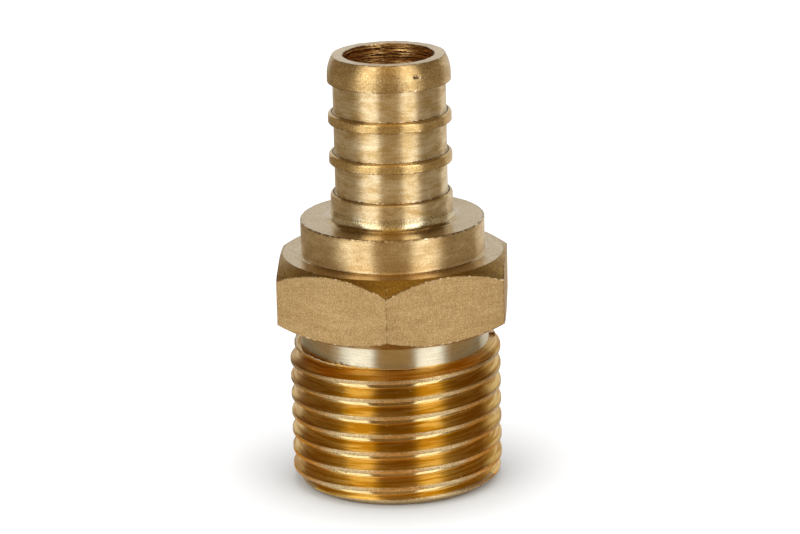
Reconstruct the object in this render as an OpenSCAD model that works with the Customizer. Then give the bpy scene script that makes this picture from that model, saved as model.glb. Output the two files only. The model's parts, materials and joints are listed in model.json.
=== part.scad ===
// Hose adapter: one piece of turned brass, standing on its threaded end.
// Origin at the centre of the threaded end face, +Z along the axis to the hose end. Millimetres.

/* [Pipe thread] */
// Diameter over the thread crests (mm)
thread_d = 20.74; // [20.4:0.02:21.2]
// Lead of one turn of the right-hand thread (mm)
thread_pitch = 1.814; // [1.8:0.002:2]
// Depth from crest to root (mm)
thread_depth = 1.18; // [0.9:0.02:1.18]
// Width of the flat on each crest (mm)
crest_w = 0.38; // [0.24:0.02:0.38]
// Angle of each thread flank to a plane square to the axis (degrees)
flank_angle = 30; // [26:0.5:30]
// Height of the threaded end, up to the neck (mm)
thread_len = 13.8; // [12:0.1:16]
// Turn of the thread about the axis (degrees)
thread_turn = -125; // [-180:5:180]
// Outer diameter of the end face inside its chamfer (mm)
end_d = 18.18; // [17.2:0.02:18.6]
// Height of the chamfer on the threaded end (mm)
end_chamfer_h = 0.95; // [0.6:0.05:1.2]
// Straight facets round one turn of the thread
thread_steps = 60; // [36:6:72]

/* [Neck] */
// Diameter of the plain neck between thread and hexagon (mm)
neck_d = 18.48; // [18.4:0.02:18.8]
// Height of the neck (mm)
neck_h = 2.45; // [1.5:0.05:3.5]

/* [Hexagon] */
// Width across the flats (mm)
hex_af = 22; // [21.8:0.1:25]
// Height of the hexagon (mm)
hex_h = 7; // [5:0.1:10]
// Turn of the hexagon about the axis (degrees)
hex_turn = -3.5; // [-30:0.5:30]
// Slope of the upper corner chamfer to the horizontal (degrees)
hex_top_slope = 35.5; // [20:0.5:40]
// Diameter of the flat on top of the hexagon (mm)
hex_top_d = 21.6; // [20:0.1:21.8]
// Slope of the lower corner chamfer to the horizontal (degrees)
hex_low_slope = 30; // [20:0.5:40]
// Diameter of the flat under the hexagon (mm)
hex_low_d = 21; // [19.5:0.1:21.8]

/* [Collar] */
// Diameter of the round collar above the hexagon (mm)
collar_d = 18; // [16.5:0.1:19]
// Height of the collar (mm)
collar_h = 3.4; // [2:0.1:5]
// Radius of the fillet at the foot of the collar (mm)
collar_fillet = 0.35; // [0.2:0.05:0.6]
// Break on the upper edge of the collar (mm)
collar_break = 0.1; // [0.05:0.05:0.3]

/* [Barb] */
// Diameter of the plain stem between the ribs (mm)
stem_d = 10.98; // [10.6:0.02:11.3]
// Diameter over the ribs (mm)
rib_d = 12; // [11.8:0.02:12.6]
// Distance from the collar to the lower edge of the third rib (mm)
rib_start = 5.68; // [5:0.02:7]
// Spacing of the ribs along the axis (mm)
rib_pitch = 4; // [3.6:0.05:4.6]
// Height of the second and third rib (mm)
rib_h = 0.98; // [0.8:0.02:1.4]
// Radius of the upper edge of each rib (mm)
rib_round = 0.3; // [0.2:0.02:0.4]
// Length of the nose from the first rib's lower edge to the end face (mm)
nose_len = 2.55; // [2:0.05:3.5]
// Straight part of the nose above its lower edge (mm)
nose_land = 0.6; // [0.3:0.05:1.2]
// Outer diameter of the hose end face (mm)
nose_d = 11; // [10.4:0.05:11.5]
// Diameter of the root land between the collar and the stem (mm)
root_d = 11.92; // [11.8:0.02:12.6]
// Height of the root land above the collar (mm)
root_h = 2.64; // [2:0.02:3.4]
// Radius of the cove between root land and collar (mm)
root_cove = 0.8; // [0.4:0.05:1.2]

/* [Bores] */
// Diameter of the bore in the hose end (mm)
hose_bore_d = 8.86; // [8:0.02:9.6]
// Diameter of the bore in the threaded end (mm)
pipe_bore_d = 13.6; // [11:0.1:15]
// Depth of the straight wide bore (mm)
pipe_bore_h = 17; // [10:0.5:19]
// Angle of the drilled step to the axis (degrees)
step_angle = 59; // [45:1:70]

/* [Hidden] */
$fn = 96;
thread_r = thread_d / 2;
root_r = thread_r - thread_depth;
end_r = end_d / 2;
neck_r = neck_d / 2;
neck_top = thread_len + neck_h;
hex_top = neck_top + hex_h;
hex_corner_r = hex_af / 2 / cos(30);
// radii of the balls whose surface has the chamfer's slope halfway to the corner
top_ball_r = (hex_corner_r + hex_top_d / 2) / 2 / sin(hex_top_slope);
low_ball_r = (hex_corner_r + hex_low_d / 2) / 2 / sin(hex_low_slope);
collar_r = collar_d / 2;
collar_top = hex_top + collar_h;
stem_r = stem_d / 2;
rib_r = rib_d / 2;
root_land_r = root_d / 2;
// lower edges of the third, second and first rib, from the collar upward
rib_3 = collar_top + rib_start;
rib_2 = rib_3 + rib_pitch;
rib_1 = rib_2 + rib_pitch;
top = rib_1 + nose_len;
nose_curve_h = top - rib_1 - nose_land;
nose_inset = rib_r - nose_d / 2;
nose_curve_r = (pow(nose_inset, 2) + pow(nose_curve_h, 2)) / (2 * nose_inset);
hose_bore_r = hose_bore_d / 2;
pipe_bore_r = pipe_bore_d / 2;
step_h = (pipe_bore_r - hose_bore_r) / tan(step_angle);
// overlap where two shapes are joined or cut
lap = 0.3;

// half width of the ridge at its root and at its crest
ridge_root_w = crest_w / 2 + thread_depth * tan(flank_angle);
ridge_crest_w = crest_w / 2;
ridge_section = [
  [root_r, -ridge_root_w], [thread_r, -ridge_crest_w],
  [thread_r, ridge_crest_w], [root_r, ridge_root_w]
];
ridge_points = len(ridge_section);
// the screw starts a turn below the end face and stops a turn above the neck shoulder
ridge_first = ridge_root_w - thread_pitch - lap;
ridge_last = thread_len + thread_pitch + lap - ridge_root_w;
ridge_cuts = ceil((ridge_last - ridge_first) / thread_pitch * thread_steps);

function ridge_angle(i) = thread_turn + 360 * (ridge_first / thread_pitch + i / thread_steps);
function ridge_z(i) = ridge_first + i * thread_pitch / thread_steps;
function ridge_point(i, p) =
  [p[0] * cos(ridge_angle(i)), p[0] * sin(ridge_angle(i)), p[1] + ridge_z(i)];
// number of point j of the section at cut i
function at(i, j) = i * ridge_points + j;
// two triangles between points a and b of one cut and points c and d of the next
function facet(a, b, c, d) = [[a, b, d], [a, d, c]];

// solid screw: flanks, crest and root wind up as strips, and each end runs in to the axis
module screw() {
  sections = [for (i = [0:ridge_cuts], p = ridge_section) ridge_point(i, p)];
  axis_low = len(sections);
  axis_high = axis_low + 1;
  ends = [[0, 0, ridge_z(0) - ridge_root_w], [0, 0, ridge_z(ridge_cuts) + ridge_root_w]];
  last = ridge_points - 1;
  ridge = [for (i = [0:ridge_cuts - 1], j = [0:last - 1])
    each facet(at(i, j), at(i, j + 1), at(i + 1, j), at(i + 1, j + 1))];
  root = [for (i = [0:ridge_cuts - thread_steps - 1])
    each facet(at(i, last), at(i + thread_steps, 0),
      at(i + 1, last), at(i + 1 + thread_steps, 0))];
  low_end = [for (i = [0:thread_steps - 1]) [axis_low, at(i, 0), at(i + 1, 0)]];
  high_end = [for (i = [ridge_cuts - thread_steps:ridge_cuts - 1])
    [axis_high, at(i + 1, last), at(i, last)]];
  low_wall = [[axis_low, at(thread_steps, 0), for (j = [last:-1:0]) at(0, j)]];
  high_wall = [[axis_high, at(ridge_cuts - thread_steps, last),
    for (j = [0:last]) at(ridge_cuts, j)]];
  polyhedron(points = concat(sections, ends),
    faces = concat(ridge, root, low_end, high_end, low_wall, high_wall));
}

// the screw is trimmed by the end face, its chamfer and the shoulder under the neck
module threaded_end() {
  chamfer_out = thread_r - end_r + lap;
  chamfer_up = end_chamfer_h * chamfer_out / (thread_r - end_r);
  intersection() {
    screw();
    rotate_extrude() polygon([
      [0, 0], [end_r, 0], [end_r + chamfer_out, chamfer_up],
      [end_r + chamfer_out, thread_len], [0, thread_len]
    ]);
  }
}

module neck() {
  translate([0, 0, thread_len]) cylinder(r = neck_r, h = neck_h + lap);
}

// the corners are turned off by a ball above and a ball below, which leaves round arcs on the flats
module hexagon() {
  intersection() {
    translate([0, 0, neck_top]) rotate(-90 + hex_turn)
      cylinder(r = hex_corner_r, h = hex_h, $fn = 6);
    translate([0, 0, hex_top - sqrt(pow(top_ball_r, 2) - pow(hex_top_d / 2, 2))])
      sphere(r = top_ball_r);
    translate([0, 0, neck_top + sqrt(pow(low_ball_r, 2) - pow(hex_low_d / 2, 2))])
      sphere(r = low_ball_r);
  }
}

// half section of a rib: square shoulder above with a rounded edge, sharp step below
module rib_section(low) {
  translate([stem_r - lap, low]) square([rib_r - stem_r + lap, rib_h - rib_round]);
  translate([stem_r - lap, low]) square([rib_r - rib_round - stem_r + lap, rib_h]);
  translate([rib_r - rib_round, low + rib_h - rib_round]) circle(r = rib_round);
}

module nose_section() {
  intersection() {
    translate([0, rib_1]) square([rib_r, top - rib_1]);
    union() {
      translate([0, rib_1]) square([rib_r, nose_land]);
      translate([rib_r - nose_curve_r, rib_1 + nose_land]) circle(r = nose_curve_r);
    }
  }
}

module root_section() {
  translate([0, collar_top]) square([root_land_r, root_h - rib_round]);
  translate([0, collar_top]) square([root_land_r - rib_round, root_h]);
  translate([root_land_r - rib_round, collar_top + root_h - rib_round]) circle(r = rib_round);
  difference() {
    translate([0, collar_top - lap]) square([root_land_r + root_cove, root_cove + lap]);
    translate([root_land_r + root_cove, collar_top + root_cove]) circle(r = root_cove);
  }
}

module barb() {
  rotate_extrude() {
    translate([0, collar_top - lap]) square([stem_r, rib_1 - collar_top + 2 * lap]);
    rib_section(rib_2);
    rib_section(rib_3);
    nose_section();
    root_section();
  }
}

module collar() {
  rotate_extrude() {
    polygon([
      [0, hex_top - lap], [collar_r, hex_top - lap], [collar_r, collar_top - collar_break],
      [collar_r - collar_break, collar_top], [0, collar_top]
    ]);
    difference() {
      translate([0, hex_top - lap]) square([collar_r + collar_fillet, collar_fillet + lap]);
      translate([collar_r + collar_fillet, hex_top + collar_fillet]) circle(r = collar_fillet);
    }
  }
}

module bores() {
  rotate_extrude() polygon([
    [0, -lap], [pipe_bore_r, -lap], [pipe_bore_r, pipe_bore_h],
    [hose_bore_r, pipe_bore_h + step_h], [hose_bore_r, top + lap], [0, top + lap]
  ]);
}

module adapter() {
  color([0.72, 0.56, 0.29]) difference() {
    union() {
      threaded_end();
      neck();
      hexagon();
      collar();
      barb();
    }
    bores();
  }
}

adapter();
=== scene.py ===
"""Looks of the hose adapter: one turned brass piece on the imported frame, with camera, light and floor."""

import json
import math
from collections import namedtuple

import bpy
import numpy as np
from mathutils import Matrix, Vector


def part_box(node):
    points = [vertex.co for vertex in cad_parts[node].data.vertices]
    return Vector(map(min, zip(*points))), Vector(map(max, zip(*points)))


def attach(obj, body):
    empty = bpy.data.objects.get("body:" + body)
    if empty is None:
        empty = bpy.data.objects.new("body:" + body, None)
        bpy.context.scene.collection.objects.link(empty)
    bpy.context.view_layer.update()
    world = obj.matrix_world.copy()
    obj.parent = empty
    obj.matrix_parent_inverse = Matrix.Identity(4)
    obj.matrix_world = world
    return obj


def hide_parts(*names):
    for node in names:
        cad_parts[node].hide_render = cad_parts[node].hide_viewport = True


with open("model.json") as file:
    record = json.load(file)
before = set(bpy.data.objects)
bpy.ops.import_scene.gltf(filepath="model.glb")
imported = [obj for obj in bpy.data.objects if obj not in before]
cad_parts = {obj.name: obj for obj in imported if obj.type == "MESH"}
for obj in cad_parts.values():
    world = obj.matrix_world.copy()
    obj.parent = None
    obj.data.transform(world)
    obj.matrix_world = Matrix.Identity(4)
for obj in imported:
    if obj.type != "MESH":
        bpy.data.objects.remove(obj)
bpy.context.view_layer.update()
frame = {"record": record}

MM = 0.001
TURN = 2 * math.pi

# Sizes of the piece in millimetres. The box and the mounts of the frame give the outer ones.
mounts = {m["name"]: m["dims"] for m in frame["record"]["mounts"]}
box_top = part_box("adapter")[1].z
TOP = box_top / MM
HOSE_BORE_R = mounts["hose_bore"]["r_mm"]
PIPE_BORE_R = mounts["pipe_bore"]["r_mm"]
PIPE_BORE_H = mounts["pipe_bore"]["length_mm"]
STEP_TOP = TOP - mounts["hose_bore"]["length_mm"]
RIB_R = mounts["barb"]["r_mm"]

THREAD_R = 10.37
ROOT_R = 9.19
PITCH = 1.814
CREST_HALF = 0.19
CREST_ROUND = 0.05
ROOT_HALF = 0.036
ROOT_ROUND = 0.04
FLANK_ANGLE = math.radians(30)
THREAD_TURN = math.radians(-125)
THREAD_TOP = 13.8
END_R = 9.09
END_CHAMFER_H = 0.95
END_CHAMFER_ROUND = 0.02
END_RIM_H = 0.26
LIP_R = 9.32
LIP_H = 0.22
NECK_R = 9.24
NECK_TOP = 16.25
HEX_FLAT_R = 11.0
HEX_TURN = math.radians(-93.5)
HEX_EDGE_ROUND = 0.12
HEX_LOW_R = 10.5
HEX_LOW_SLOPE = math.radians(30)
HEX_TOP_R = 10.8
HEX_TOP_SLOPE = math.radians(35.5)
HEX_TOP = 23.25
COLLAR_R = 9.0
COLLAR_TOP = 26.65
ROOT_LAND_R = 5.96
ROOT_LAND_TOP = 29.29
STEM_R = 5.49
RIB_H = 0.98
RIB_LOW = (32.33, 36.33)
NOSE_LOW = 40.33
NOSE_LAND_TOP = 40.93
NOSE_R = 5.5

# Corners up to this radius are sharp: their edges are worn and a little uneven. Guard rows on each side
# keep the faces beside them true and let the wear fade.
SHARP = 0.12
EDGE_ERROR = 0.012
EDGE_GUARD = 0.12

# Each corner of the hexagon is rounded. CORNER_ARC is half the arc's angle seen from the axis, in degrees.
HALF_SIDE = math.radians(30)
CORNER_CENTRE_R = (HEX_FLAT_R - HEX_EDGE_ROUND) / math.cos(HALF_SIDE)
ARC_END_R = CORNER_CENTRE_R + HEX_EDGE_ROUND * math.cos(HALF_SIDE)
CORNER_ARC = math.degrees(math.atan2(HEX_EDGE_ROUND / 2, ARC_END_R))

# Regions of the surface, each with its own finish
(HEX, CHAMFER, NECK, STEM, COLLAR, ANNULUS, RIB, NOSE,
 RIM, BORE, FLANK, UNDERSIDE, CREST, COVE, BURR, HIDDEN) = range(16)


def column_angles():
    """Angles of the mesh columns: closer together at the six rounded corners of the hexagon."""
    columns_per_flat = 35
    past_arc = CORNER_ARC + 0.25
    near = np.array([-past_arc, -CORNER_ARC, -CORNER_ARC / 3, CORNER_ARC / 3, CORNER_ARC, past_arc])
    flat = np.linspace(past_arc, 60 - past_arc, columns_per_flat + 2)[1:-1]
    sector = np.concatenate([near, flat])
    back_corner = math.degrees(HEX_TURN) + 180
    return np.radians(np.concatenate([back_corner + 60 * k + sector for k in range(6)]))


THETA = column_angles()
COLUMNS = len(THETA)
random = np.random.default_rng(11)


def uneven(amount, spots=260):
    """Small seeded errors for the columns of a ring, as a worn or torn edge has."""
    error = random.normal(0, amount, spots)
    return np.interp(THETA % TURN, np.linspace(0, TURN, spots), error, period=TURN)


# A flaw of the surface: its azimuth in degrees from the camera's side, height, half sizes, depth and soiling.
# Soiling marks it with dark specks and painted glints; beyond 1 it paints its bottom dark, a painted shade.
Flaw = namedtuple("Flaw", "azimuth z half_width half_height depth soil")
FLAWS = (
    Flaw(26.1, 41.67, 0.30, 0.16, 0.10, 2.2),
    Flaw(31.5, 41.60, 0.42, 0.07, 0.03, 1.4),
    Flaw(17.6, 5.39, 0.20, 0.15, 0.10, 0.5),
    Flaw(-28.6, 5.32, 0.20, 0.15, 0.10, 0.5),
    Flaw(-32.0, 3.48, 0.26, 0.18, 0.12, 1.2),
    Flaw(-44.1, 23.15, 0.30, 0.12, 0.05, 0.6),
    Flaw(10.7, 22.36, 0.30, 0.16, 0.08, 0.5),
)


def flawed(theta, r, z):
    """How much the flaws take off the outer surface, and how much they mark it with soil, painted glints and
    painted shade.
    """
    depth, soil = np.zeros(len(theta)), np.zeros(len(theta))
    for flaw in FLAWS:
        turn = (theta - math.radians(flaw.azimuth - 90) + math.pi) % TURN - math.pi
        off = np.hypot(turn * r / flaw.half_width, (z - flaw.z) / flaw.half_height)
        part = np.where(r > HOSE_BORE_R + 0.5, np.clip(1.5 - off, 0, 1), 0)
        depth = np.maximum(depth, flaw.depth * part)
        soil = np.maximum(soil, flaw.soil * part)
    return depth, soil


def from_corner(theta):
    """Angle from the nearest corner of the hexagon, in radians."""
    return (theta - HEX_TURN + HALF_SIDE) % (2 * HALF_SIDE) - HALF_SIDE


def hexagon_radius(theta):
    """Radius of the hexagon with rounded corners, at each angle."""
    off = from_corner(theta)
    flat = HEX_FLAT_R / np.cos(HALF_SIDE - np.abs(off))
    inside = np.clip(HEX_EDGE_ROUND ** 2 - (CORNER_CENTRE_R * np.sin(off)) ** 2, 0, None)
    corner = CORNER_CENTRE_R * np.cos(off) + np.sqrt(inside)
    return np.where(np.abs(off) < math.radians(CORNER_ARC), corner, flat)


def soft_min(a, b, blend):
    """The smaller of a and b, with the corner between them rounded."""
    return np.minimum(a, b) - np.clip(blend - np.abs(a - b), 0, None) ** 2 / (4 * blend)


def end_cone(z):
    """Radius of the chamfer at the threaded end."""
    return END_R + z * (THREAD_R - END_R) / END_CHAMFER_H


def thread_radius(theta, z):
    """Radius of the cut thread at an angle and a height, with its end chamfer."""
    along = (z - PITCH * (theta - THREAD_TURN) / TURN + PITCH / 2) % PITCH - PITCH / 2
    slope = (THREAD_R - ROOT_R) / (PITCH / 2 - ROOT_HALF - CREST_HALF)
    flank = THREAD_R - (np.abs(along) - CREST_HALF) * slope
    ridge = soft_min(flank, THREAD_R, CREST_ROUND)
    ridge = -soft_min(-ridge, -ROOT_R, ROOT_ROUND)
    return soft_min(ridge, end_cone(z), END_CHAMFER_ROUND)


def crest_rows():
    """Heights of the thread's rows within one pitch, from the crest's middle, with the finish above each.

    The rows lie closer together at the edges of crest and root."""
    half = [0, 0.155, CREST_HALF, 0.225, 0.3, 0.58, 0.82, 0.865]
    below = [-h for h in half[:0:-1]]
    rows = below + half
    crest_faces = 4
    flank_faces = len(half) - 1 - crest_faces // 2
    finish = [UNDERSIDE] * flank_faces + [CREST] * crest_faces + [FLANK] * (flank_faces + 1)
    return rows, finish


# Tool marks are drawn as on a cylinder of this radius, so that they are alike on every diameter
TURNING_R = 10


class Surface:
    """Vertices, faces and finishes of the closed surface, built ring by ring."""

    def __init__(self):
        self.points = []
        self.lines = []
        self.worn = []
        self.faces = []
        self.finish = []

    def add(self, theta, r, z, s, worn=0.0):
        """Add a row of vertices and return their numbers. Tool marks follow s, the length of the section."""
        first = len(self.points)
        r, z, s, worn = (np.broadcast_to(v, theta.shape) for v in (r, z, s, worn))
        # The flaws sink the surface and raise the wear mask, which marks them with painted glints and, beyond
        # 1, painted shade.
        depth, soil = flawed(theta, r, z)
        r = r - depth
        self.worn += list(np.maximum(worn, soil))
        cos, sin = np.cos(theta), np.sin(theta)
        self.points += list(zip(r * cos * MM, r * sin * MM, z * MM))
        self.lines += list(zip(TURNING_R * cos, TURNING_R * sin, s))
        return np.arange(first, first + len(theta))

    def face(self, corners, finish):
        """One face, without repeated corners."""
        kept = [c for i, c in enumerate(corners) if c != corners[i - 1]]
        if len(set(kept)) > 2:
            self.faces.append(kept)
            self.finish.append(finish)

    def band(self, low, high, finish):
        """Faces between two closed rings."""
        for k in range(COLUMNS):
            n = (k + 1) % COLUMNS
            self.face([low[k], low[n], high[n], high[k]], finish)


def build_thread(surface):
    """The threaded end. Its rows climb one pitch a turn and are cut off at the end face and the shoulder."""
    run_out_h = 0.5
    root_reach = 0.05
    marks_lean = 0.6
    rows, row_finishes = crest_rows()
    per_turn = len(rows)
    turns_up = int(math.ceil(THREAD_TOP / PITCH)) + 2
    start = PITCH * (THETA[0] - THREAD_TURN) / TURN
    start -= PITCH * (math.floor(start / PITCH) + 2)
    heights = np.array([start + n * PITCH + h for n in range(turns_up + 2) for h in rows])
    finishes = row_finishes * (turns_up + 2)
    climb = PITCH * (THETA - THETA[0]) / TURN
    from_root = np.abs((heights - start) % PITCH - PITCH / 2)
    section = np.hypot(np.diff(heights), marks_lean * np.abs(np.diff(from_root)))
    s = np.concatenate([[0], np.cumsum(section)])

    number = np.zeros((COLUMNS, len(heights)), int)
    for k in range(COLUMNS):
        z = np.clip(heights + climb[k], END_RIM_H, THREAD_TOP)
        low = np.max(np.flatnonzero(z <= END_RIM_H))
        high = np.min(np.flatnonzero(z >= THREAD_TOP))
        theta = np.full(high - low + 1, THETA[k])
        inside = z[low:high + 1]
        ids = surface.add(theta, thread_radius(theta, inside), inside, s[low:high + 1])
        number[k] = ids[np.clip(np.arange(len(heights)), low, high) - low]

    last_row = len(heights) - 1
    for k in range(COLUMNS):
        n = (k + 1) % COLUMNS
        shift = per_turn if n == 0 else 0
        for i in range(-shift, last_row):
            a, b = (min(max(j, 0), last_row) for j in (i, i + 1))
            c, d = (min(j + shift, last_row) for j in (i, i + 1))
            corners = [number[k][a], number[n][c], number[n][d], number[k][b]]
            x, y, z = surface.points[corners[0]]
            radius, height = np.hypot(x, y) / MM, z / MM
            turned_off = radius > end_cone(height) - END_CHAMFER_ROUND
            run_out = radius < ROOT_R + root_reach or height > THREAD_TOP - run_out_h
            finish = FLANK if run_out else finishes[i % per_turn]
            surface.face(corners, CREST if turned_off else finish)
    return number[:, 0], number[:, -1]


# A corner of the section. finish is that of what follows it, radius that of the arc that rounds it, steps
# the number of parts of that arc, and the last how strongly the edge is worn, which also sets its painted
# glints.
Corner = namedtuple("Corner", "r z finish radius steps worn", defaults=(0, 2, 0))


def rounded(corners):
    """Rows of a section whose corners are rounded, each as (place, finish, worn)."""
    place = [np.stack([np.broadcast_to(v, COLUMNS) for v in (c.r, c.z)]).astype(float) for c in corners]
    rows = [(place[0], corners[0].finish, 0.0)]
    for i in range(1, len(corners) - 1):
        c = corners[i]
        before = corners[i - 1].finish
        if c.radius == 0:
            rows.append((place[i], c.finish, c.worn))
            continue
        back, on = (q - place[i] for q in (place[i - 1], place[i + 1]))
        room = [np.linalg.norm(side, axis=0) for side in (back, on)]
        back, on = back / room[0], on / room[1]
        guard = [np.minimum(EDGE_GUARD, 0.4 * length) for length in room]
        half = np.arccos(np.clip((back * on).sum(0), -1, 1)) / 2
        reach = c.radius / np.tan(half)
        middle = back + on
        centre = place[i] + middle / np.linalg.norm(middle, axis=0) * c.radius / np.sin(half)
        start, stop = place[i] + back * reach, place[i] + on * reach
        swing = math.pi - 2 * half
        sharp = c.radius <= SHARP
        error = np.stack([uneven(EDGE_ERROR), uneven(EDGE_ERROR)]) if sharp else 0
        rows.append((start + back * guard[0], before, 0.0))
        rows.append((start + back * guard[0] / 3, before, 0.6 * c.worn))
        for j in range(c.steps + 1):
            t = j / c.steps
            arc = np.sin((1 - t) * swing) * (start - centre) + np.sin(t * swing) * (stop - centre)
            finish = before if 2 * j < c.steps else c.finish
            rows.append((centre + arc / np.sin(swing) + error, finish, c.worn))
        rows.append((stop + on * guard[1] / 3, c.finish, 0.6 * c.worn))
        rows.append((stop + on * guard[1], c.finish, 0.0))
    rows.append((place[-1], corners[-1].finish, 0.0))
    return rows


def ball_drop(flat_r, slope, r):
    """How far the ball that turns off the hexagon's corners lies from the flat, at radius r."""
    corner_r = HEX_FLAT_R / math.cos(HALF_SIDE)
    ball_r = (corner_r + flat_r) / 2 / math.sin(slope)
    return math.sqrt(ball_r ** 2 - flat_r ** 2) - np.sqrt(ball_r ** 2 - r ** 2)


def chamfer(z_flat, flat_r, slope, side, order):
    """Points of a turned corner chamfer between its flat and the hexagon's sides, as section corners."""
    radii = [flat_r + (hexagon_radius(THETA) - flat_r) * t for t in order]
    return [Corner(r, z_flat + side * ball_drop(flat_r, slope, r), CHAMFER) for r in radii]


def nose_curve():
    """The nose curves in from its land to the end face on one arc."""
    inset, height = RIB_R - NOSE_R, TOP - NOSE_LAND_TOP
    radius = (inset ** 2 + height ** 2) / (2 * inset)
    sweep = math.asin(height / radius)
    steps = 16
    angles = [sweep * i / steps for i in range(steps)]
    return [(RIB_R - radius * (1 - math.cos(a)), NOSE_LAND_TOP + radius * math.sin(a)) for a in angles]


def rib(low):
    """Corners of one rib: a sharp step below, a rounded shoulder above."""
    return [
        Corner(STEM_R, low, RIB, 0.05, 2, 0.5),
        Corner(RIB_R, low, RIB, 0.04, 2, 0.9),
        Corner(RIB_R, low + RIB_H, RIB, 0.3, 6),
        Corner(STEM_R, low + RIB_H, STEM, 0.06, 2, 0.6),
    ]


# The burr on the edge of the shoulder: azimuths from the camera's side in degrees, and how much of it stands
# there. Behind it the foot of the neck has the flank's finish, up to the height of a wedge. Where no burr
# stands, the flank runs up to the neck, and that fades out between the azimuths of RUN_UP_AT.
LIP_AT = (-180, -100, -30, 0, 25, 40, 110, 150, 180)
LIP_PART = (1, 1, 0.9, 0.45, 0.3, 0, 0, 0.8, 1)
LIP_WIDTH = 0.1
WEDGE_AT = (-110, -60, -25, 0)
WEDGE_H = (0.0, 0.30, 0.08, 0.0)
RUN_UP_AT = (95, 140)
RUN_UP_PART = (1, 0)


def torn_lip(shoulder_r):
    """Corners of the thin burr on the shoulder. Where there is none, the flank runs up to the neck.

    The small offsets keep neighbouring corners apart."""
    azimuth = (np.degrees(THETA) + 270) % 360 - 180
    lip = np.interp(azimuth, LIP_AT, LIP_PART)
    ledge = shoulder_r - NECK_R
    run_up = ledge * math.tan(FLANK_ANGLE) * np.interp(azimuth, RUN_UP_AT, RUN_UP_PART)
    flank_end = NECK_R + np.where(azimuth > RUN_UP_AT[0], ledge - 0.02, 0.02)
    torn = np.maximum(shoulder_r + 0.01, LIP_R) + uneven(0.015)
    outer = lip * torn + (1 - lip) * flank_end
    height = np.clip(lip * (LIP_H + uneven(0.06)) + (1 - lip) * np.maximum(run_up, 0), 0.05, 0.6)
    inner = np.maximum(outer - LIP_WIDTH * lip - 0.004, NECK_R + 0.008)
    middle = NECK_R + 0.7 * (inner - NECK_R)
    foot = THREAD_TOP + height * (1 - lip)
    wedge = np.interp(azimuth, WEDGE_AT, WEDGE_H)
    return [
        Corner(shoulder_r, THREAD_TOP, FLANK),
        Corner(outer, THREAD_TOP + height - 0.05 * lip - 0.008, BURR),
        Corner(outer - 0.01 * lip - 0.002, THREAD_TOP + height, BURR),
        Corner(inner, THREAD_TOP + height - 0.01, ANNULUS),
        Corner(inner - 0.002, foot + 0.03, ANNULUS),
        Corner(middle, foot, FLANK),
        Corner(NECK_R + 0.003, foot - 0.25 * lip, FLANK, worn=0.5 * lip),
        Corner(NECK_R, foot + 0.1 + wedge, NECK, worn=0.3 * lip),
        Corner(NECK_R, THREAD_TOP + 0.75, NECK),
    ]


def section_corners(shoulder_r):
    """The section from the shoulder above the thread to the mouth, down the bore and out to the end face."""
    hexagon = hexagon_radius(THETA)
    low_edge = NECK_TOP + ball_drop(HEX_LOW_R, HEX_LOW_SLOPE, hexagon)
    top_edge = HEX_TOP - ball_drop(HEX_TOP_R, HEX_TOP_SLOPE, hexagon)
    between = (0.25, 0.5, 0.75)
    corners = [
        *torn_lip(shoulder_r),
        Corner(NECK_R, NECK_TOP, HIDDEN, 0.12, 3, 0.6),
        Corner(HEX_LOW_R, NECK_TOP, CHAMFER, 0.04, 2, 0.5),
        *chamfer(NECK_TOP, HEX_LOW_R, HEX_LOW_SLOPE, 1, between),
        Corner(hexagon, low_edge, HEX, 0.05, 3, 0.8),
        Corner(hexagon, top_edge, CHAMFER, 0.05, 3, 1.0),
        *chamfer(HEX_TOP, HEX_TOP_R, HEX_TOP_SLOPE, -1, between[::-1]),
        Corner(HEX_TOP_R, HEX_TOP, ANNULUS, 0.04, 2, 0.3),
        Corner(COLLAR_R, HEX_TOP, COLLAR, 0.35, 6, 0.15),
        Corner(COLLAR_R, COLLAR_TOP, ANNULUS, 0.1, 3, 0.9),
        Corner(ROOT_LAND_R, COLLAR_TOP, COVE, 0.8, 9),
        Corner(ROOT_LAND_R, COLLAR_TOP + 1.2, STEM),
        Corner(ROOT_LAND_R, ROOT_LAND_TOP, RIB, 0.3, 6),
        Corner(STEM_R, ROOT_LAND_TOP, STEM, 0.08, 3, 0.6),
    ]
    for low in RIB_LOW:
        corners += rib(low)
    corners += [Corner(STEM_R, NOSE_LOW, RIB, 0.05, 2, 0.5), Corner(RIB_R, NOSE_LOW, NOSE, 0.04, 2, 0.9)]
    corners += [Corner(r, z, NOSE) for r, z in nose_curve()]
    corners += [
        Corner(NOSE_R, TOP, RIM, 0.07, 3, 0.8),
        Corner(HOSE_BORE_R, TOP, BORE, 0.06, 3, 0.8),
        Corner(HOSE_BORE_R, TOP - 6, BORE),
        Corner(HOSE_BORE_R, STEP_TOP, BORE),
        Corner(PIPE_BORE_R, PIPE_BORE_H, BORE),
        Corner(PIPE_BORE_R, 0, RIM, 0.1, 2),
        Corner(END_R, 0, CREST),
    ]
    return corners


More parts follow.
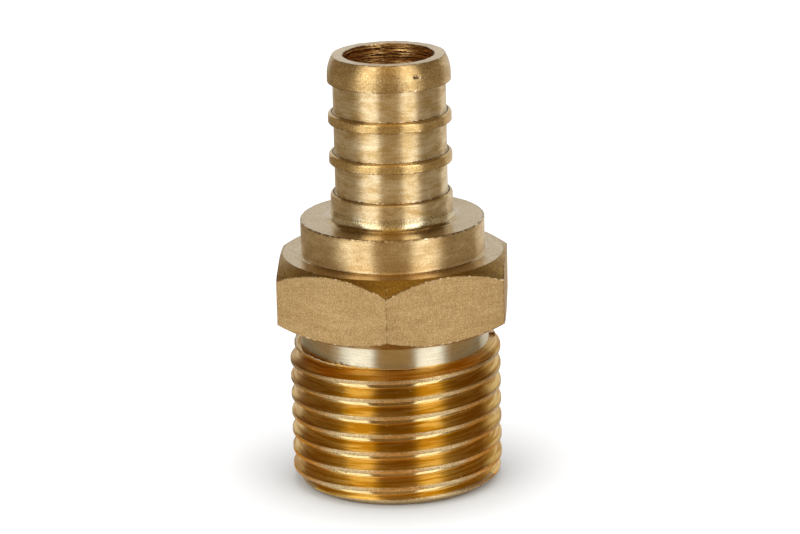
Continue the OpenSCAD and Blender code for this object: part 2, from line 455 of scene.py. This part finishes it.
def build_adapter():
    """The whole piece as one closed mesh."""
    surface = Surface()
    bottom_ring, top_ring = build_thread(surface)
    shoulder_r = thread_radius(THETA, np.full(COLUMNS, THREAD_TOP))
    rows = rounded(section_corners(shoulder_r))
    at_corner = np.abs(from_corner(THETA)) < math.radians(CORNER_ARC * 1.05)
    ring, s = top_ring, 0.0
    for (before, finish, _), (place, _, worn) in zip(rows, rows[1:]):
        s += float(np.mean(np.hypot(*(place - before))))
        hexagonal = np.ptp(place[0]) > 0.5
        following = surface.add(THETA, *place, s, np.maximum(worn, 0.5 * (at_corner & hexagonal)))
        surface.band(ring, following, finish)
        ring = following
    surface.band(ring, bottom_ring, CREST)

    mesh = bpy.data.meshes.new("adapter_brass")
    mesh.from_pydata([tuple(p) for p in surface.points], [], surface.faces)
    lines = mesh.attributes.new("turning", "FLOAT_VECTOR", "POINT")
    lines.data.foreach_set("vector", np.array(surface.lines, np.float32).ravel())
    # This mask sets the wear of the edges, their painted glints and the painted shade in deep flaws.
    worn = mesh.attributes.new("worn", "FLOAT", "POINT")
    worn.data.foreach_set("value", np.array(surface.worn, np.float32))
    mesh.polygons.foreach_set("material_index", surface.finish)
    mesh.polygons.foreach_set("use_smooth", [True] * len(mesh.polygons))
    mesh.update()
    piece = bpy.data.objects.new("adapter_brass", mesh)
    bpy.context.scene.collection.objects.link(piece)
    return piece


# Slivers of swarf on the thread: azimuth in degrees from the camera's side, height, length, tilt in degrees
SWARF = (
    (-41.5, 3.75, 0.6, -8), (-38.0, 3.55, 0.5, 12), (-35.0, 12.0, 0.3, 60), (-32.0, 11.4, 0.25, 10),
    (0.2, 11.7, 0.25, 70), (8.0, 11.8, 0.25, -50), (-4.0, 7.6, 0.4, 5), (-6.0, 8.2, 0.16, 40),
    (30.0, 5.9, 0.3, 75), (33.0, 5.4, 0.25, -60), (31.0, 5.1, 0.2, 30), (36.0, 2.4, 0.3, 50),
    (56.0, 2.5, 0.3, -20),
)
SLIVER_HALF_WIDTH = 0.045
SLIVER_FOOT = 0.01
SLIVER_RIDGE = 0.09
SLIVER_CURL = 0.25


def build_swarf():
    """Small curled slivers that lie on the thread, as one mesh. Each has three edges and thin ends."""
    points, faces = [], []
    steps = 6
    for azimuth, z, length, tilt in SWARF:
        first = len(points)
        lean = math.radians(tilt)
        for i in range(steps + 1):
            t = i / steps - 0.5
            along = length * t
            curl = SLIVER_CURL * length * (t * t - 0.25)
            x = along * math.cos(lean) - curl * math.sin(lean)
            up = z + along * math.sin(lean) + curl * math.cos(lean)
            theta = np.array([math.radians(azimuth - 90) + x / THREAD_R])
            surface_r = float(thread_radius(theta, np.array([up]))[0])
            width = SLIVER_HALF_WIDTH * (1.1 - abs(2 * t))
            for out, rise in ((SLIVER_FOOT, -width), (SLIVER_RIDGE, 0), (SLIVER_FOOT, width)):
                r = surface_r + out
                points.append((r * math.cos(theta[0]) * MM, r * math.sin(theta[0]) * MM, (up + rise) * MM))
        for i in range(steps):
            a = first + 3 * i
            faces += [(a, a + 3, a + 4, a + 1), (a + 1, a + 4, a + 5, a + 2), (a + 2, a + 5, a + 3, a)]
        last = first + 3 * steps
        faces += [(first, first + 1, first + 2), (last, last + 2, last + 1)]
    mesh = bpy.data.meshes.new("adapter_swarf")
    mesh.from_pydata(points, [], faces)
    piece = bpy.data.objects.new("adapter_swarf", mesh)
    bpy.context.scene.collection.objects.link(piece)
    return piece


class Nodes:
    """Short calls to build a node tree."""

    def __init__(self, tree):
        self.tree = tree
        tree.nodes.clear()

    def new(self, kind, inputs=None, **settings):
        """A node. Each input is named by its name or number and is given a socket or a value."""
        node = self.tree.nodes.new(kind)
        for name, value in settings.items():
            setattr(node, name, value)
        for name, value in (inputs or {}).items():
            socket = node.inputs[name]
            if isinstance(value, bpy.types.NodeSocket):
                self.tree.links.new(value, socket)
            else:
                socket.default_value = value
        return node

    def noise(self, vector, scale, detail=3.0, roughness=0.5, distortion=0.0):
        inputs = {"Vector": vector, "Scale": scale, "Detail": detail, "Roughness": roughness}
        return self.new("ShaderNodeTexNoise", {**inputs, "Distortion": distortion}).outputs["Fac"]

    def stretched(self, vector, scale):
        return self.new("ShaderNodeMapping", {"Vector": vector, "Scale": scale}).outputs["Vector"]

    def ramp(self, value, low, high, out_low=0.0, out_high=1.0):
        inputs = {"Value": value, "From Min": low, "From Max": high, "To Min": out_low, "To Max": out_high}
        return self.new("ShaderNodeMapRange", inputs).outputs["Result"]

    def math(self, operation, a, b=0.0):
        return self.new("ShaderNodeMath", {0: a, 1: b}, operation=operation).outputs[0]

    def mix(self, factor, a, b):
        """A mix of two colours. Inputs 6 and 7 and output 2 of the node are its colour sockets."""
        return self.new("ShaderNodeMix", {0: factor, 6: a, 7: b}, data_type="RGBA").outputs[2]

    def bump(self, height, distance, normal=None):
        inputs = {"Height": height, "Distance": distance, "Strength": 1.0}
        if normal is not None:
            inputs["Normal"] = normal
        return self.new("ShaderNodeBump", inputs).outputs["Normal"]

    def lifted_normal(self, lift):
        """The surface's normal, turned up."""
        normal = self.new("ShaderNodeNewGeometry").outputs["Normal"]
        raised = self.new("ShaderNodeVectorMath", {0: normal, 1: (0, 0, lift)}, operation="ADD")
        level = self.new("ShaderNodeVectorMath", {0: raised.outputs[0]}, operation="NORMALIZE")
        return level.outputs[0]

    def seen_directly(self, paths):
        """1 for what the camera sees, also as a reflection or through a clear thing, and otherwise 0."""
        seen = self.math("MAXIMUM", paths.outputs["Is Camera Ray"], paths.outputs["Is Glossy Ray"])
        return self.math("MAXIMUM", seen, paths.outputs["Is Transmission Ray"])


# Colours of what lies in the metal's pores, which also makes the dark specks on worn edges, of the painted
# glints on worn edges, a bright colour that stands in for highlights, and of the painted shade at the bottom
# of a pit.
# The last comes in as the wear mask grows from the first limit below to the second.
SOIL = (0.20, 0.11, 0.035, 1)
PAINTED_GLINT = (1.0, 0.86, 0.60, 1)
PAINTED_PIT_SHADE = (0.10, 0.06, 0.03, 1)
PIT_SHADE_FROM = 1.1
PIT_SHADE_FULL = 1.8

# Scales of the noise, in cells a metre, and the height of the relief on worn edges in millimetres
PATCH_SCALE = (420.0, 420.0, 1100.0)
UPRIGHT_SCALE = (9000.0, 9000.0, 900.0)
CHIPPED_SCALE = 2600.0
CHIP_AND_GLINT_SCALE = 1900.0
WORN_RELIEF = 0.02


def brass(name, light, dark, roughness, anisotropy=1.0, lines=(0.0015, 14.0), sand=(0.003, 7000.0),
          mottle=0.5, grain=0.3, drawn=0.0, wave=0.3, lift=0.0, metallic=1.0, blend=0.15):
    """Brass with tool lines along the turning, a sandy grain, soft patches, and worn edges with dark specks
    and painted glints, with painted shade at the bottom of deep flaws.

    lines and sand are (height in mm, scale), in cells a mm of the section for lines and in cells a metre for
    sand. wave is how fast the lines change round the piece. mottle is the share of the patches against the
    lines in the colour, and blend half the range in which it turns from dark to light. grain is how dark the
    pores are, drawn how strong the upright lines are. lift turns the shading up."""
    material = bpy.data.materials.new(name)
    material.use_nodes = True
    n = Nodes(material.node_tree)
    turning = n.new("ShaderNodeAttribute", attribute_name="turning").outputs["Vector"]
    worn = n.new("ShaderNodeAttribute", attribute_name="worn").outputs["Fac"]
    place = n.new("ShaderNodeTexCoord").outputs["Object"]
    line = n.noise(n.stretched(turning, (wave, wave, lines[1])), 1.0, 3.0, 0.6)
    grit = n.noise(place, sand[1], 3.0, 0.7)
    patches = n.noise(n.stretched(place, PATCH_SCALE), 1.0, 5.0, 0.65, 0.4)
    upright = n.noise(n.stretched(place, UPRIGHT_SCALE), 1.0, 2.0, 0.5)
    chipped = n.ramp(n.noise(place, CHIPPED_SCALE, 2.0, 0.6), 0.38, 0.62, 0.25, 1.0)

    shade = n.math("ADD", n.math("MULTIPLY", patches, mottle), n.math("MULTIPLY", line, 1 - mottle))
    shade = n.math("ADD", shade, n.math("MULTIPLY", n.math("SUBTRACT", upright, 0.5), drawn))
    colour = n.mix(n.ramp(shade, 0.5 - blend, 0.5 + blend), dark, light)
    colour = n.mix(n.ramp(grit, 0.62, 0.36, 0.0, grain), colour, SOIL)
    # Worn edges get dark specks and painted glints, a bright colour that stands in for highlights.
    chips_and_glints = n.mix(n.ramp(n.noise(place, CHIP_AND_GLINT_SCALE, 2.0, 0.6), 0.55, 0.60), SOIL, PAINTED_GLINT)
    # Past the first limit the bottom of a deep flaw is painted dark: painted shade.
    chips_and_glints = n.mix(n.ramp(worn, PIT_SHADE_FROM, PIT_SHADE_FULL), chips_and_glints, PAINTED_PIT_SHADE)
    wear_and_glint = n.math("MULTIPLY", worn, chipped)
    colour = n.mix(wear_and_glint, colour, chips_and_glints)

    rough = n.ramp(shade, 0.3, 0.7, roughness * 1.2, roughness * 0.8)
    relief = n.math("MULTIPLY", line, lines[0] * MM)
    relief = n.math("ADD", relief, n.math("MULTIPLY", grit, sand[0] * MM))
    relief = n.math("ADD", relief, n.math("MULTIPLY", wear_and_glint, WORN_RELIEF * MM))
    normal = n.lifted_normal(lift) if lift else None
    tangent = n.new("ShaderNodeTangent", direction_type="RADIAL", axis="Z").outputs["Tangent"]
    shader = n.new("ShaderNodeBsdfPrincipled", {
        "Base Color": colour, "Metallic": metallic, "Roughness": rough,
        "Anisotropic": anisotropy, "Anisotropic Rotation": 0.25,
        "Normal": n.bump(relief, 1.0, normal), "Tangent": tangent,
    })
    n.new("ShaderNodeOutputMaterial", {"Surface": shader.outputs[0]})
    return material


def finishes():
    """The materials in the order of the regions."""
    return [
        brass("brass_hexagon", (0.76, 0.55, 0.275, 1), (0.62, 0.43, 0.195, 1), 0.55, 0.0,
              sand=(0.03, 9000.0), mottle=0.6, grain=0.6, drawn=0.3),
        brass("brass_chamfer", (0.70, 0.44, 0.10, 1), (0.36, 0.18, 0.015, 1), 0.34, 0.3,
              sand=(0.018, 7000.0), grain=0.8),
        brass("brass_neck", (0.86, 0.80, 0.61, 1), (0.72, 0.66, 0.49, 1), 0.34,
              lines=(0.006, 8.0), sand=(0.003, 8000.0), mottle=0.2, grain=0.2),
        brass("brass_stem", (0.95, 0.78, 0.49, 1), (0.66, 0.44, 0.17, 1), 0.37, 0.92,
              lines=(0.006, 5.0), sand=(0.004, 8000.0), mottle=0.75, grain=0.35, metallic=0.9, blend=0.11),
        brass("brass_collar", (0.95, 0.73, 0.40, 1), (0.70, 0.47, 0.21, 1), 0.33, 0.92,
              lines=(0.006, 5.0), sand=(0.005, 8000.0), mottle=0.7, grain=0.45, metallic=0.92, blend=0.12),
        brass("brass_annulus", (0.80, 0.62, 0.355, 1), (0.64, 0.46, 0.22, 1), 0.19, 0.9,
              sand=(0.005, 7500.0), grain=0.6),
        brass("brass_rib", (0.96, 0.69, 0.31, 1), (0.62, 0.39, 0.13, 1), 0.27, 0.88,
              sand=(0.006, 7000.0), mottle=0.6, grain=0.6, metallic=0.93),
        brass("brass_nose", (0.88, 0.64, 0.31, 1), (0.56, 0.35, 0.12, 1), 0.30, 0.7,
              sand=(0.018, 6100.0), mottle=0.6, grain=0.6, metallic=0.93),
        brass("brass_rim", (1.0, 0.86, 0.62, 1), (0.92, 0.73, 0.48, 1), 0.38, 0.5,
              sand=(0.010, 8000.0), mottle=0.7, grain=0.4),
        brass("brass_bore", (0.92, 0.60, 0.24, 1), (0.36, 0.11, 0.01, 1), 0.26, 0.0,
              lines=(0.13, 4.0), sand=(0.01, 6000.0), mottle=0.15, grain=0.3, wave=0.15),
        brass("brass_flank", (0.81, 0.53, 0.15, 1), (0.56, 0.275, 0.012, 1), 0.32, 0.45,
              lines=(0.014, 4.5), sand=(0.0, 7000.0), mottle=0.0, grain=0.0, wave=0.16, blend=0.05),
        brass("brass_underside", (1.0, 0.82, 0.44, 1), (0.86, 0.62, 0.24, 1), 0.20,
              lines=(0.004, 9.0), mottle=0.1, grain=0.1, lift=1.12),
        brass("brass_crest", (0.92, 0.73, 0.43, 1), (0.66, 0.48, 0.235, 1), 0.42, 0.6,
              sand=(0.02, 9000.0), mottle=0.6, grain=0.8),
        brass("brass_cove", (1.0, 0.93, 0.68, 1), (0.92, 0.72, 0.38, 1), 0.23, 0.8,
              lines=(0.006, 7.0), sand=(0.010, 6000.0), mottle=0.6, grain=0.6),
        brass("brass_burr", (1.0, 0.90, 0.64, 1), (0.85, 0.60, 0.28, 1), 0.40, 0.0,
              sand=(0.02, 9000.0), mottle=0.5, grain=0.6, metallic=0.4, blend=0.08),
        brass("brass_hidden", (0.74, 0.52, 0.25, 1), (0.62, 0.42, 0.18, 1), 0.45, 0.5),
    ]


def add_camera():
    """The photograph's camera: its place in metres and its angles in radians come from a fit of the outline.

    The lens follows from the focal length in pixels and the width of the frame in pixels."""
    place = Vector((0, -0.335685, 0.119497))
    yaw = 0.0019208
    pitch = 0.2842559
    roll = -0.0232318
    focal_px = 3566.96
    frame_px = 800
    sensor_mm = 36.0
    forward = Vector((math.sin(yaw) * math.cos(pitch), math.cos(yaw) * math.cos(pitch), -math.sin(pitch)))
    level = Vector((math.cos(yaw), -math.sin(yaw), 0))
    raised = level.cross(forward)
    right = math.cos(roll) * level + math.sin(roll) * raised
    up = math.cos(roll) * raised - math.sin(roll) * level
    data = bpy.data.cameras.new("camera")
    data.sensor_width = sensor_mm
    data.lens = focal_px * sensor_mm / frame_px
    data.clip_start = 0.01
    data.clip_end = 20
    camera = bpy.data.objects.new("camera", data)
    turn = Matrix((right, up, -forward)).transposed().to_4x4()
    camera.matrix_world = Matrix.Translation(place) @ turn
    bpy.context.scene.collection.objects.link(camera)
    bpy.context.scene.camera = camera


def around(azimuth, radius, height):
    """A point about the piece. Azimuth is in degrees from the camera's side, to the right."""
    turn = math.radians(azimuth)
    return Vector((radius * math.sin(turn), -radius * math.cos(turn), height))


# The two lamps, in metres: how far off and how high they stand, how tall they are and what they are turned to
LAMP_DISTANCE = 0.6
LAMP_HEIGHT = 0.34
LAMP_TALL = 0.7
LAMP_AIM = Vector((0, 0, 0.02))


def add_softbox(name, azimuth, width, brightness):
    """A soft lamp on a stand, turned to the piece. Brightness 1 shows as white."""
    data = bpy.data.lights.new(name, "AREA")
    data.shape = "RECTANGLE"
    data.size = width
    data.size_y = LAMP_TALL
    data.energy = brightness * math.pi * width * LAMP_TALL
    lamp = bpy.data.objects.new(name, data)
    lamp.rotation_mode = "QUATERNION"
    lamp.location = around(azimuth, LAMP_DISTANCE, LAMP_HEIGHT)
    lamp.rotation_quaternion = (lamp.location - LAMP_AIM).to_track_quat("Z", "Y")
    lamp.visible_camera = False
    bpy.context.scene.collection.objects.link(lamp)


def dimmed_bounce(n, paths, left):
    """1, or the part left of it for light that the metal throws on to the floor."""
    from_floor = n.ramp(paths.outputs["Diffuse Depth"], 0.0, 1.0)
    second_hand = n.math("MULTIPLY", paths.outputs["Is Glossy Ray"], from_floor)
    return n.ramp(second_hand, 0.0, 1.0, 1.0, left)


def add_card(name, first, last, section, colour, last_colour=None, below=False):
    """A dim card that stands round the piece between two azimuths. Only reflections see it.

    Its colour may run to last_colour, and below leaves only the reflections that see it from below."""
    steps = 24
    azimuths = [first + (last - first) * i / steps for i in range(steps + 1)]
    points = [around(azimuth, r, z) for azimuth in azimuths for r, z in section]
    tall = len(section)
    starts = [i * tall + j for i in range(steps) for j in range(tall - 1)]
    faces = [(k, k + 1, k + tall + 1, k + tall) for k in starts]
    mesh = bpy.data.meshes.new(name)
    mesh.from_pydata([tuple(p) for p in points], [], faces)
    across = mesh.attributes.new("across", "FLOAT", "POINT")
    across.data.foreach_set("value", np.repeat(np.linspace(0, 1, steps + 1), tall).astype(np.float32))
    material = bpy.data.materials.new(name)
    material.use_nodes = True
    n = Nodes(material.node_tree)
    paths = n.new("ShaderNodeLightPath")
    part = n.new("ShaderNodeAttribute", attribute_name="across").outputs["Fac"]
    shade = n.mix(part, (*colour, 1), (*(last_colour or colour), 1))
    glow = n.new("ShaderNodeEmission", {"Color": shade, "Strength": dimmed_bounce(n, paths, 0.2)})
    surface = glow.outputs[0]
    if below:
        above = n.new("ShaderNodeNewGeometry").outputs["Backfacing"]
        clear = n.new("ShaderNodeBsdfTransparent").outputs[0]
        surface = n.new("ShaderNodeMixShader", {0: above, 1: surface, 2: clear}).outputs[0]
    n.new("ShaderNodeOutputMaterial", {"Surface": surface})
    mesh.materials.append(material)
    card = bpy.data.objects.new(name, mesh)
    card.visible_camera = card.visible_diffuse = card.visible_shadow = False
    card.visible_transmission = card.visible_volume_scatter = False
    bpy.context.scene.collection.objects.link(card)


def add_surroundings():
    """A plain white room. The camera and the metal see it a little brighter than it lights the floor."""
    world = bpy.data.worlds.new("studio")
    bpy.context.scene.world = world
    world.use_nodes = True
    n = Nodes(world.node_tree)
    paths = n.new("ShaderNodeLightPath")
    level = n.ramp(n.seen_directly(paths), 0.0, 1.0, 0.82, 1.0)
    strength = n.math("MULTIPLY", level, dimmed_bounce(n, paths, 0.1))
    background = n.new("ShaderNodeBackground", {"Color": (1, 1, 1, 1), "Strength": strength})
    n.new("ShaderNodeOutputWorld", {"Surface": background.outputs[0]})


def add_floor():
    """A plain pale floor. It shows near white to the camera and to the metal, keeps the shadow, and is
    painted darker close to the piece, a painted contact shadow.
    """
    half = 3.0
    corners = [(-half, -half, 0), (half, -half, 0), (half, half, 0), (-half, half, 0)]
    mesh = bpy.data.meshes.new("floor")
    mesh.from_pydata(corners, [], [(0, 1, 2, 3)])
    floor = bpy.data.objects.new("floor", mesh)
    bpy.context.scene.collection.objects.link(floor)
    material = bpy.data.materials.new("floor_paper")
    material.use_nodes = True
    n = Nodes(material.node_tree)
    seen = n.seen_directly(n.new("ShaderNodeLightPath"))
    # Close to the piece the floor is painted darker and glows less, by its occlusion: a painted contact
    # shadow over the real one.
    near = n.new("ShaderNodeAmbientOcclusion", {"Distance": 0.014}).outputs["AO"]
    lift = n.math("MULTIPLY", seen, n.ramp(near, 0.45, 0.95, 0.0, 0.30))
    shade = n.mix(n.ramp(near, 0.45, 0.9), (0.78, 0.79, 0.80, 1), (0.92, 0.92, 0.92, 1))
    paper = n.new("ShaderNodeBsdfDiffuse", {"Color": shade})
    glow = n.new("ShaderNodeEmission", {"Color": (1, 1, 1, 1), "Strength": lift})
    both = n.new("ShaderNodeAddShader", {0: paper.outputs[0], 1: glow.outputs[0]})
    n.new("ShaderNodeOutputMaterial", {"Surface": both.outputs[0]})
    mesh.materials.append(material)


# Half sections of the cards as (radius, height), in metres, and their colours. Upright metal mirrors the low
# and high cards, the upper flanks of the thread the near ones, its undersides the shelves, and what faces up
# the top cards and the ceiling.
NEAR = ((0.012, 0.0003), (0.03, 0.0003))
LOW = ((0.03, 0.0003), (0.045, 0.0003), (0.05, 0.01), (0.053, 0.03))
HIGH = ((0.053, 0.03), (0.057, 0.065))
TOP_CARD = ((0.057, 0.065), (0.07, 0.2), (0.02, 0.35))
SHELF = ((0.048, 0.021), (0.016, 0.021))
LONG_SHELF = ((0.090, 0.021), (0.016, 0.021))
REAR_FLOOR = ((0.012, 0.0004), (0.3, 0.0004))
REAR_WALL = ((0.3, 0.0004), (0.3, 0.5))
CEILING = ((0.001, 0.35), (0.2, 0.35))
REAR_CEILING = ((0.2, 0.35), (0.28, 0.21))
DARK = (0.37, 0.285, 0.175)
DIM = (0.30, 0.245, 0.17)
PALE = (0.80, 0.76, 0.70)
GREY = (0.76, 0.77, 0.78)
AMBER = (0.88, 0.40, 0.0)
BROWN = (0.11, 0.04, 0.003)
DUSK = (0.56, 0.38, 0.14)
GLOOM = (0.10, 0.06, 0.02)
TAN = (0.82, 0.62, 0.32)

add_camera()
add_surroundings()
add_floor()
add_softbox("softbox_left", -43, width=0.44, brightness=1.15)
add_softbox("softbox_right", 42, width=0.42, brightness=1.25)

# In front, between the two lamps
add_card("front_near", -21, 19, NEAR, AMBER)
add_card("front_low", -20, 19, LOW, DARK)
add_card("front_low_left", -25, -20, LOW, PALE, DARK)
add_card("front_low_right", 19, 24, LOW, DARK, PALE)
add_card("front_high", -22, 21, HIGH, DARK)
add_card("front_top", -24, 22, TOP_CARD, DUSK)
add_card("front_shelf", -24, 22, SHELF, BROWN, below=True)

# To the left
add_card("left_near", -125, -66, NEAR, AMBER)
add_card("left_low", -140, -80, LOW, DIM)
add_card("left_low_edge", -80, -64, LOW, DIM, PALE)
add_card("left_high", -140, -56, HIGH, DIM)
add_card("left_top", -140, -56, TOP_CARD, GLOOM)
add_card("left_shelf", -140, -60, LONG_SHELF, BROWN, below=True)

# To the right
add_card("right_near", 58, 110, NEAR, AMBER)
add_card("right_low", 64, 118, LOW, DIM)
add_card("right_low_edge", 55, 64, LOW, PALE, DIM)
add_card("right_high", 52, 118, HIGH, DIM)
add_card("right_top", 52, 118, TOP_CARD, GLOOM)
add_card("right_shelf", 50, 118, LONG_SHELF, BROWN, below=True)

# Behind and above
add_card("rear_floor_left", -180, -140, REAR_FLOOR, DIM)
add_card("rear_floor_right", 120, 180, REAR_FLOOR, PALE)
add_card("rear_wall", 118, 242, REAR_WALL, GREY)
add_card("ceiling", 0, 360, CEILING, TAN)
add_card("rear_ceiling", 118, 242, REAR_CEILING, GLOOM)

adapter = build_adapter()
for finish in finishes():
    adapter.data.materials.append(finish)
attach(adapter, "root")
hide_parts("adapter")

# The slivers have the finish of the burr
swarf = build_swarf()
swarf.data.materials.append(adapter.data.materials[BURR])
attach(swarf, "root")

scene = bpy.context.scene
scene.view_settings.view_transform = "Standard"
